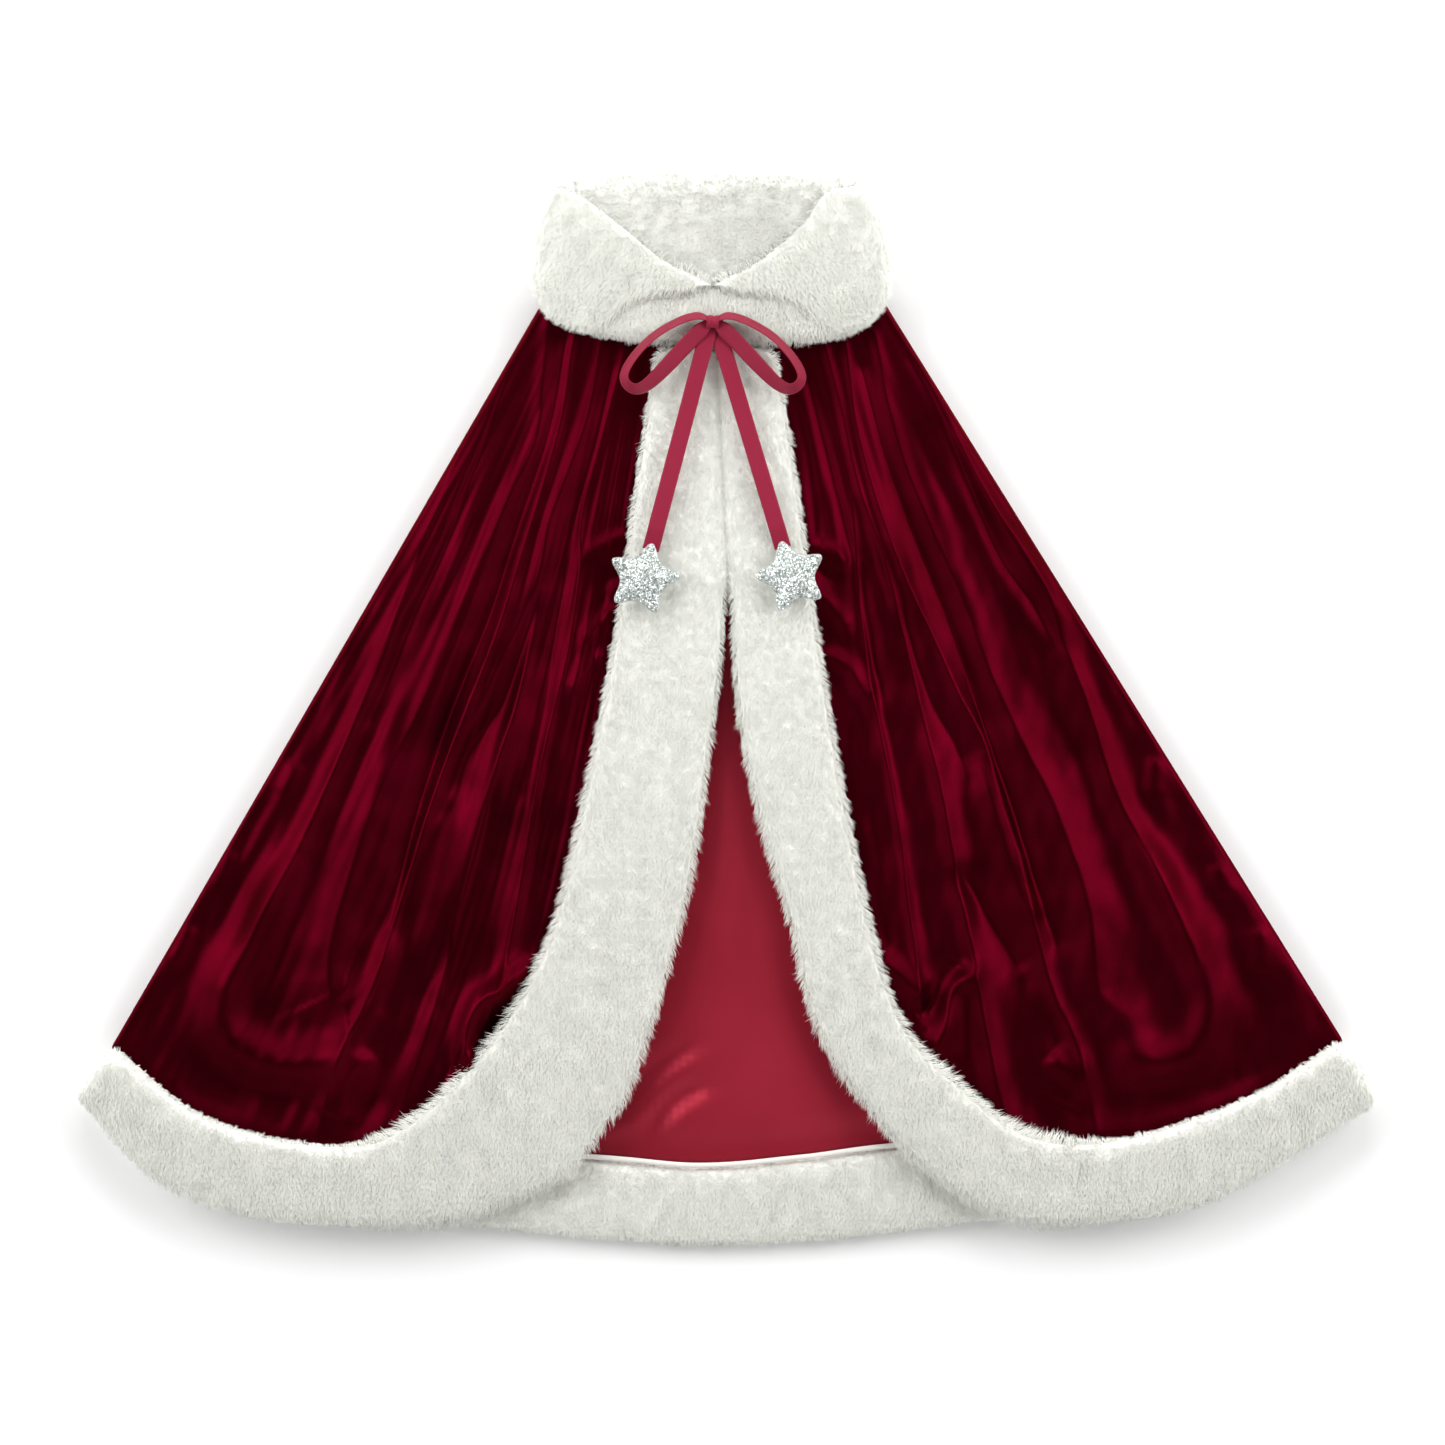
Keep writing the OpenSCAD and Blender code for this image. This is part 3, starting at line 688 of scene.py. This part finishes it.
def fold_height(x, y, folds):
    """Height of the folds over the points x, y. Folds that begin at the neck start at full height."""
    last, neck = 47, 190
    total = np.zeros_like(x)
    points = np.stack([x, y], axis=-1)
    for height, start_width, end_width, crisp, line in folds:
        path = curve(line, last + 1)
        way = unit(np.gradient(path, axis=0))
        nearest = ((points[..., None, :] - path) ** 2).sum(-1).argmin(-1)
        gap = points - path[nearest]
        beside = gap[..., 0] * way[nearest, 1] - gap[..., 1] * way[nearest, 0]
        slip = (gap * way[nearest]).sum(-1)
        at_end = (nearest == 0) & (slip < 0) | (nearest == last) & (slip > 0)
        gap = np.where(at_end, np.hypot(beside, slip), np.abs(beside))
        step = np.linalg.norm(path[1] - path[0])
        along = np.clip((nearest + np.clip(slip / step, -0.5, 0.5)) / last, 0, 1)
        reach = gap / ((start_width + (end_width - start_width) * along) * MM)
        crest = crisp * np.exp(-1.4 * reach) + (1 - crisp) * np.exp(-reach ** 2)
        start = 1 if line[0][1] > neck else smooth(0.3 + along / 0.25)
        total += height * MM * crest * start * (1 - 0.5 * smooth((along - 0.88) / 0.12))
    return total


def patch(side):
    """Flat grid over the cloth of one front, with its places u across and v down: rows run from
    neck to hem, columns from side to seam. The cloth goes on a little way under the plush."""
    rows, cols = 230, 170
    under_plush, turn_y, turn_x = 4 * MM, -197 * MM, 160 * MM
    seam, edge = matched(curve(SEAM[side], 400), curve(EDGE[side], 400))
    seam = seam + under_plush * unit(edge - seam)
    seam[-1] = curve(SEAM[side], 2)[-1]
    turn = np.argmin(np.abs(seam[:, 1] - turn_y) + 10 * (np.abs(seam[:, 0]) > turn_x))
    inner = np.vstack([[seam[0, 0], NECK[side][1] * MM], seam[:turn + 1]])
    hem = seam[turn:][::-1]
    outer = np.array([NECK[side], SEAM[side][-1]], float) * MM
    inner, outer = spaced(inner, rows), spaced(outer, rows)
    neck, hem = spaced(np.array([outer[0], inner[0]]), cols), spaced(hem, cols)
    return blended(outer, inner, neck, hem)


def blended(left, right, top, bottom):
    """Grid whose four borders are the given lines, with its places u across and v down."""
    v = np.linspace(0, 1, len(left))[:, None, None]
    u = np.linspace(0, 1, len(top))[None, :, None]
    ruled = left[:, None] * (1 - u) + right[:, None] * u + top[None] * (1 - v) + bottom[None] * v
    corners = (left[0] * (1 - u) + right[0] * u) * (1 - v) + (left[-1] * (1 - u) + right[-1] * u) * v
    return ruled - corners, u[..., 0], v[..., 0]


def front_cloth(side):
    """Velvet of one front with its gathered folds, rolled down at the side, and its lining.
    free is 0 where the cloth is sewn down and 1 away from there."""
    flat, u, v = patch(side)
    x, y = flat[..., 0], flat[..., 1]
    across = np.linalg.norm(flat[:, -1] - flat[:, 0], axis=-1, keepdims=True)
    free = smooth(26 * (1 - u)) * smooth(40 * (1 - v)) * smooth(10 * u * across / 0.1)
    gathers = 0.4 * MM * np.sin(2 * math.pi * (8.5 * u + 0.35 * np.sin(4 * v))) * np.exp(-v / 0.18)
    streaks = 1.5 * MM * wave_noise(0.3 * u, 0.085 * v, 0.05, 4 + len(side)) * smooth(v / 0.3)
    folds = (0.75 + 0.5 * smooth((v - 0.3) / 0.4)) * fold_height(x, y, FOLDS[side])
    loose = 1.3 * MM * wave_noise(1.4 * x, 0.7 * y, 0.075, 14) * smooth(v / 0.4)
    lift = (folds + gathers + streaks + loose) * free
    under_collar, collar_ease = 235 * MM, 150 * MM
    lift *= 0.3 + 0.7 * smooth((under_collar - y) / collar_ease)
    top = VELVET_TOP - 1.5 * MM + lift
    roll = 4 * MM
    drop = np.sqrt(1 - (1 - np.clip(u * across / roll, 0, 1)) ** 2)
    grid = np.dstack([x, y, VELVET_THICK + (top - VELVET_THICK) * drop])
    velvet = sheet_mesh(side + "_front_cloth", grid, VELVET_THICK, VELVET)
    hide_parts(side + "_front_velvet", side + "_corner_velvet", side + "_side_fold")
    across_fold()(velvet)
    hem_cols, lining_drop = 12, 1.9 * MM
    under = grid[:, hem_cols:] - [0, 0, lining_drop]
    lining = sheet_mesh(side + "_front_lining_cloth", under[::2, ::2], SATIN_THICK, LINING)
    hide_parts(side + "_front_lining", side + "_corner_lining")
    across_fold()(lining)


def back_cloth():
    """Velvet of the back, flat on the table, and the satin that lines it, loose but for its borders."""
    rows, cols = 130, 160
    left = spaced(np.array([NECK["left"], BACK_SEAM[0]], float) * MM, rows)
    right = spaced(np.array([NECK["right"], BACK_SEAM[-1]], float) * MM, rows)
    neck = spaced(np.array([left[0], right[0]]), cols)
    flat, u, v = blended(left, right, neck, curve(BACK_SEAM, cols))
    x, y = flat[..., 0], flat[..., 1]
    outer = sheet_mesh("back_cloth", np.dstack([x, y, 1.4 * MM + 0 * x]), VELVET_THICK, VELVET)
    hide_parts("back_velvet")
    inset = np.clip(np.minimum(np.minimum(u, 1 - u), 1 - v) * 18, 0, 1)
    crease = 0.7 * MM * wave_noise(x + 0.6 * y, y * 0.3, 0.07, 15)
    loose = (5 * MM + fold_height(x, y, LINING_FOLDS) + crease) * smooth(inset)
    height = np.maximum(LINING_TOP + 1.2 * MM + loose, LINING_TOP + 0.3 * MM)
    lining = sheet_mesh("back_lining_cloth", np.dstack([x, y, height]), SATIN_THICK, LINING)
    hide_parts("back_lining")
    for piece in (outer, lining):
        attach(piece, "cape")


# ------------ ribbon bow

RIBBON_WIDTH = 10 * MM
RIBBON_THICK = 0.5 * MM
TAIL_LENGTH = 140        # from the knot to the hinge of a star, in mm
STAR_REACH = 163.2       # from the knot to the middle of a star, in mm
STAR_RADIUS = 21.0 * MM
TAIL_ANGLE = {"left": -14.8, "right": 16.7}     # from straight down, in degrees
# middle line of the right loop, from the knot and back, in mm; the left one mirrors it
LOOP_LINE = [(0.9, -4, 1.5), (4.8, -2.4, 2.2), (10, -1.4, 2.4), (20.5, -4.6, 2.4), (35.5, -13.5, 2.6),
             (47.5, -26, 2.8), (53, -36.5, 3.0), (51, -43, 3.0), (45, -45.4, 2.8), (37.5, -41.5, 2.3),
             (26.5, -30.5, 1.7), (14.5, -17.5, 1.3), (5.5, -8.5, 1.0), (1.4, -5, 0.9)]
RIB_WAVE = 0.628         # UV units per mm of ribbon, for two ribs in each mm


def ribbon(name, path, across, width, nodes):
    """Flat ribbon along path; across is the unit direction of its width at each point."""
    t = np.linspace(-0.5, 0.5, 9)
    grid = path[:, None] + across[:, None] * (t * np.reshape(width, (-1, 1)))[..., None]
    run = np.r_[0, np.cumsum(np.linalg.norm(np.diff(path, axis=0), axis=1))] / MM * RIB_WAVE
    uv = np.dstack(np.broadcast_arrays(run[:, None], t[None, :]))
    piece = sheet_mesh(name, grid, RIBBON_THICK, RIBBON, uv)
    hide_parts(*nodes)
    return piece


def bow_loop(side):
    """Loop of ribbon: its upper strand stands on edge, and the lower one lies flatter."""
    way = -1 if side == "left" else 1
    path = curve([KNOT + np.array([way * x, y, z]) for x, y, z in LOOP_LINE], 150)
    s = np.linspace(0, 1, len(path))
    along = unit(np.gradient(path, axis=0))
    outward_side = unit(np.stack([-way * along[:, 1], way * along[:, 0], 0 * s], axis=1))
    lower, at_knot = smooth((s - 0.5) / 0.3), smooth((s - 0.9) / 0.1)
    tilt = np.radians(60 - 32 * lower - 22 * at_knot)[:, None]
    across = np.cos(tilt) * outward_side - np.sin(tilt) * UP
    pinch = 0.55 + 0.45 * smooth(np.minimum(s, 1 - s) / 0.07)
    piece = ribbon(side + "_bow_loop", path, across, RIBBON_WIDTH * pinch, [side + "_loop"])
    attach(piece, side + "_bow_loop")


def tail_frame(side):
    """Unit direction down the tail and the one to its right, seen from above."""
    turn = math.radians(TAIL_ANGLE[side])
    down = np.array([math.sin(turn), -math.cos(turn), 0])
    return down, np.array([-down[1], down[0], 0])


def star_level(side):
    """Height of the seam round a star."""
    return sum(levels(side + "_star_rim")) / 2


def ribbon_tail(side):
    """Straight end of the tie, which passes behind the upper point of its star."""
    down, right = tail_frame(side)
    level = star_level(side) / MM - KNOT[2]
    r = np.linspace(3, TAIL_LENGTH + 5.5, 130)
    tuck = smooth((r - TAIL_LENGTH + 9) / 12)
    near = 1 - smooth(r / 16)
    lift = level + 0.35 * np.sin(r / 13) * (1 - tuck) + 0.2 * near - 2.2 * tuck
    path = (KNOT + r[:, None] * down + lift[:, None] * UP) * MM
    across = np.broadcast_to(right, path.shape)
    piece = ribbon(side + "_tail_ribbon", path, across, RIBBON_WIDTH * (0.8 + 0.2 * smooth(r / 10)),
                   [side + "_tail"])
    hinge = (KNOT + TAIL_LENGTH * down) * MM
    hinge[2] = (level + KNOT[2]) * MM
    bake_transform(piece)


def knot():
    """Ribbon wrapped once round the crossing, with creases drawn to its middle."""
    x = np.linspace(-1, 1, 40)[:, None]
    turn = np.linspace(0, 2 * math.pi, 64, endpoint=False)[None, :]
    waist = 0.86 + 0.14 * np.abs(x) ** 1.5
    round_off = (1 - np.abs(x) ** 6) ** 0.5 * 0.35 + 0.65
    crease = 0.07 * np.abs(np.sin(3 * turn + 2.2 * x)) ** 0.6 * (1 - x ** 2) + 0.04 * np.sin(7 * x + turn)
    size = waist * round_off * (1 - crease)
    half_width, radius = 3.7, 4.4
    grid = np.dstack([KNOT[0] + half_width * x + 0.5 * size * np.sin(turn),
                      KNOT[1] - 5 + radius * size * np.sin(turn),
                      KNOT[2] + 0.4 + radius * size * np.cos(turn)]) * MM
    uv = np.dstack(np.broadcast_arrays(turn * 5 * RIB_WAVE, x))
    piece = closed_tube("bow_knot", grid, RIBBON, np.vstack([uv.reshape(-1, 2), [[0, 0], [0, 0]]]))
    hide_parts("tie_knot")
    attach(piece, "cape")


def tie_root(side):
    """Hidden start of the tie, from the neck seam down to the knot under the rolled collar."""
    way = -1 if side == "left" else 1
    path = curve([(KNOT[0] + way * x, y, z) for x, y, z in
                  [(1.2, 232, 36), (1.6, 237, 29.5), (3, 247, 28), (4.5, 254, 28)]], 30)
    across = np.broadcast_to([1.0, 0, 0], path.shape)
    piece = ribbon(side + "_root_ribbon", path, across, RIBBON_WIDTH * 0.5, [side + "_tie_root"])
    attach(piece, "cape")


# ------------ stars

def star_outline(count=220):
    """Rounded five-pointed star about the origin, one point up, as count points."""
    turn = math.pi / 2 + np.arange(10) * math.pi / 5
    reach = np.where(np.arange(10) % 2 == 0, 1.0, 0.5)
    line = np.stack([reach * np.cos(turn), reach * np.sin(turn)], axis=1)
    for cut in (0.18, 0.25, 0.25, 0.25):
        nxt = np.roll(line, -1, axis=0)
        line = np.stack([line * (1 - cut) + nxt * cut, line * cut + nxt * (1 - cut)], axis=1)
        line = line.reshape(-1, 2)
    line = spaced(np.vstack([line, line[:1]]), count + 1)[:-1]
    return line * STAR_RADIUS / np.linalg.norm(line, axis=1).max()


def puffed(outline, height):
    """Dome over the outline, as a grid of rings from its middle to its edge."""
    t = np.sin(np.linspace(0.02, 1, 22) * math.pi / 2)[:, None, None]
    flat = outline[None] * t
    gap = np.linalg.norm(flat[:, :, None] - outline[None, None, ::2], axis=-1).min(-1)
    full = np.abs(outline).max() * 0.46
    z = height * np.sqrt(1 - (1 - np.clip(gap / full, 0, 1)) ** 2)
    z[-1] = 0
    return np.dstack([flat, z])


def placed_star(side, grid):
    """Grid drawn about the origin, moved to the star of one tail with its point up the tail."""
    down, right = tail_frame(side)
    middle = (KNOT + STAR_REACH * down) * MM
    middle[2] = star_level(side)
    return middle + grid[..., :1] * right - grid[..., 1:2] * down + grid[..., 2:] * UP


def star(side):
    """Padded star: glittered front, plain back, filling inside and a silver cord round the edge."""
    outline = star_outline()
    front = puffed(outline, 5.0 * MM)
    body = side + "_star"
    for part, flip in (("front", 1), ("back", -1)):
        inner = front * np.array([0.95, 0.95, 0.86])
        shell = np.concatenate([front, inner[::-1]]) * np.array([1, 1, flip])
        piece = closed_tube(f"{side}_star_{part}_shell", placed_star(side, shell), SILVER_CLOTH)
        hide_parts(f"{side}_star_{part}")
        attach(piece, body)
    core = np.concatenate([front, front[::-1] * np.array([1, 1, -1])]) * 0.8
    filling = closed_tube(side + "_star_wadding", placed_star(side, core), FILLING)
    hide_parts(side + "_star_filling")
    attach(filling, body)
    star_cord(side, outline)
    flakes(side, placed_star(side, front))


def star_cord(side, outline):
    """Twisted cord along the seam of a star."""
    line = np.column_stack([outline, 0 * outline[:, 0]])
    along = unit(np.roll(line, -1, axis=0) - np.roll(line, 1, axis=0))
    side_way = np.stack([along[:, 1], -along[:, 0], 0 * along[:, 0]], axis=1)
    turn = np.linspace(0, 2 * math.pi, 12, endpoint=False)
    twist = 1 + 0.12 * np.cos(2 * (turn[None] + np.arange(len(line))[:, None] * math.pi / 5))
    ring = circle(turn, side_way, UP[None]) * twist[..., None]
    grid = placed_star(side, line[:, None] + 0.8 * MM * ring)
    quads = grid_quads(*grid.shape[:2], close_cols=True, close_rows=True)
    piece = make_mesh(side + "_star_cord", grid.reshape(-1, 3), quads, materials=[SILVER_RIM])
    outward(piece)
    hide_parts(side + "_star_rim")
    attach(piece, side + "_star")


def star_tack(side):
    """Three threads that hold the star's upper point to the end of its ribbon."""
    down, right = tail_frame(side)
    level = levels(side + "_star_rim")[0]
    turn = np.linspace(0, 2 * math.pi, 8, endpoint=False)
    bow = np.linspace(-1, 1, 14)[:, None, None]
    half_length, thread_radius = 1.5 * MM, 0.16 * MM
    made = []
    for k, step in enumerate((-0.8, 0, 0.8)):
        at = (KNOT + (TAIL_LENGTH + 3.4) * down + step * right) * MM
        line = at + half_length * bow * down + [0, 0, level - at[2] - 0.6 * MM]
        ring = thread_radius * circle(turn, right[None], UP[None])
        made.append(closed_tube(f"{side}_stitch_{k + 1}", line + ring, THREAD))
    for piece in made:
        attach(piece, side + "_star")
    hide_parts(side + "_star_tack")


def flakes(side, grid):
    """Glitter on the front of a star: six-sided flakes at random slants, a little above it."""
    per_mm2, slant, above = 7, 0.42, 0.22 * MM
    rng = np.random.default_rng(71 + len(side))
    normals = grid_normals(grid, close_cols=True)
    if normals[..., 2].mean() < 0:
        normals = -normals
    roots, up = scatter(grid[:-1], normals[:-1], per_mm2, rng)
    count = len(roots)
    face = unit(up + rng.normal(0, slant, (count, 3)))
    first = unit(np.cross(face, rng.normal(0, 1, (count, 3))))
    second = np.cross(face, first)
    size = rng.uniform(0.26, 0.5, (count, 1)) * MM
    turn = np.arange(6) * math.pi / 3
    middle = (roots + up * above)[:, None]
    corners = middle + size[:, None] * circle(turn, first, second)
    base = np.arange(count)[:, None] * 6
    quads = np.vstack([base + [0, 1, 2, 3], base + [0, 3, 4, 5]])
    piece = make_mesh(side + "_star_glitter", corners.reshape(-1, 3), quads, materials=FLAKES,
                      slots=np.tile(rng.choice(3, count, p=[0.5, 0.25, 0.25]), 2))
    piece.data.polygons.foreach_set("use_smooth", np.zeros(len(quads), bool))
    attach(piece, side + "_star")


def hem_binding():
    """White tape rolled over the top edge of the back hem, as far as the turned corners bare it."""
    bared = 310 * MM
    seam = curve(BACK_SEAM, 600)
    line = seam[np.abs(seam[:, 0]) < bared][::3]
    line = np.column_stack([line, np.full(len(line), BACK_FUR_TOP - 2.2 * MM)])
    line[:, 2] += 0.3 * MM * np.sin(line[:, 0] * 160)
    turn = np.linspace(0, 2 * math.pi, 14, endpoint=False)
    ring = np.stack([0 * turn, 1.5 * np.cos(turn), 1.2 * np.sin(turn)], axis=1) * MM
    piece = closed_tube("back_hem_binding", line[:, None] + ring[None], TAPE)
    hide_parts("back_hem_tape")
    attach(piece, "cape")


# ------------ light and camera

def softbox(name, place, power):
    """Square lamp that looks at the origin."""
    light = bpy.data.lights.new(name, "AREA")
    light.size = 1.3
    light.energy = power
    lamp = bpy.data.objects.new(name, light)
    lamp.location = place
    lamp.rotation_euler = (-Vector(place)).to_track_quat("-Z", "Y").to_euler()
    bpy.context.scene.collection.objects.link(lamp)


def studio():
    """White table and a tent of light that is darkest straight above, with softboxes to the left,
    to the right and beyond the collar."""
    white = principled("floor", Base_Color=(0.95, 0.95, 0.95, 1), Roughness=0.9)[0]
    far, down = 30, -1 * MM
    corners = [(-far, -far, down), (far, -far, down), (far, far, down), (-far, far, down)]
    floor = make_mesh("floor", corners, [[0, 1, 2, 3]], materials=[white])
    world = bpy.data.worlds.new("studio")
    world.use_nodes = True
    height = add(world, "SeparateXYZ")
    join(world, add(world, "TexCoord").outputs["Generated"], height.inputs["Vector"])
    tent = colour_ramp(world, height.outputs["Z"],
                       [(0.0, (1.1, 1.1, 1.1)), (0.6, (0.85, 0.85, 0.85)), (0.97, (0.07, 0.07, 0.07))])
    join(world, tent, world.node_tree.nodes["Background"].inputs["Color"])
    bpy.context.scene.world = world
    bpy.context.scene.view_settings.view_transform = "Standard"
    softbox("left_box", (-1.6, 0.7, 1.25), 25.5)
    softbox("right_box", (1.6, 0.7, 1.25), 25.5)
    softbox("far_box", (0, 1.9, 1.3), 18)


def camera():
    """Straight above the cape, with span of it in view at the height of the fronts."""
    height, fronts, span, sensor = 2.5, 20 * MM, 867 * MM, 36
    data = bpy.data.cameras.new("camera")
    data.sensor_width = sensor
    data.lens = sensor * (height - fronts) / span
    eye = bpy.data.objects.new("camera", data)
    eye.location = (-3.9 * MM, -7.5 * MM, height)
    bpy.context.scene.collection.objects.link(eye)
    bpy.context.scene.camera = eye


camera()
studio()
for side in ("left", "right"):
    front_plush(side)
    front_cloth(side)
back_plush()
back_cloth()
collar()
knot()
for side in ("left", "right"):
    bow_loop(side)
    ribbon_tail(side)
    tie_root(side)
    star(side)
    star_tack(side)
hem_binding()
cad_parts["neck_tape"].data.materials.clear()
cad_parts["neck_tape"].data.materials.append(TAPE)
